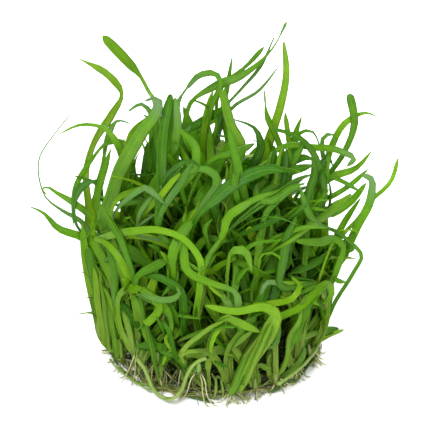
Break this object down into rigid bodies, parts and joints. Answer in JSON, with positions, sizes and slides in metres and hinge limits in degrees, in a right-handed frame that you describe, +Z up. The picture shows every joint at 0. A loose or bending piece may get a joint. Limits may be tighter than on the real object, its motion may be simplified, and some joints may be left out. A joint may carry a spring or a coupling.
{
  "type": "dwarf sagittaria clump",
  "caption": "Bare clump of dwarf sagittaria: arching grass-like strap leaves in small rosettes, standing on a flat round root mat with runners round its foot.",
  "frame": {"origin": "middle of the root mat's flat underside, where the clump rests", "axes": "+Z up; -Y towards the clump's front, the side the picture shows; +X to the right as seen from the front"},
  "size_m": [0.1095, 0.0775, 0.1056],
  "materials": {
    "leaf": "satin",
    "runner": "satin",
    "root_mat": "matte"
  },
  "bodies": {
    "root": {"plantlet_01": "leaf", "plantlet_02": "leaf", "plantlet_03": "leaf", "plantlet_04": "leaf", "plantlet_05": "leaf", "plantlet_06": "leaf", "plantlet_07": "leaf", "plantlet_08": "leaf", "plantlet_09": "leaf", "plantlet_10": "leaf", "plantlet_11": "leaf", "plantlet_12": "leaf", "plantlet_13": "leaf", "plantlet_14": "leaf", "plantlet_15": "leaf", "plantlet_16": "leaf", "plantlet_17": "leaf", "plantlet_18": "leaf", "plantlet_19": "leaf", "plantlet_20": "leaf", "plantlet_21": "leaf", "plantlet_22": "leaf", "plantlet_23": "leaf", "plantlet_24": "leaf", "plantlet_25": "leaf", "plantlet_26": "leaf", "plantlet_27": "leaf", "plantlet_28": "leaf", "plantlet_29": "leaf", "plantlet_30": "leaf", "plantlet_31": "leaf", "plantlet_32": "leaf", "plantlet_33": "leaf", "plantlet_34": "leaf", "plantlet_35": "leaf", "plantlet_36": "leaf", "plantlet_37": "leaf", "plantlet_38": "leaf", "plantlet_39": "leaf", "root_mat": "root_mat", "runner_1": "runner", "runner_2": "runner", "runner_3": "runner"}
  },
  "joints": []
}
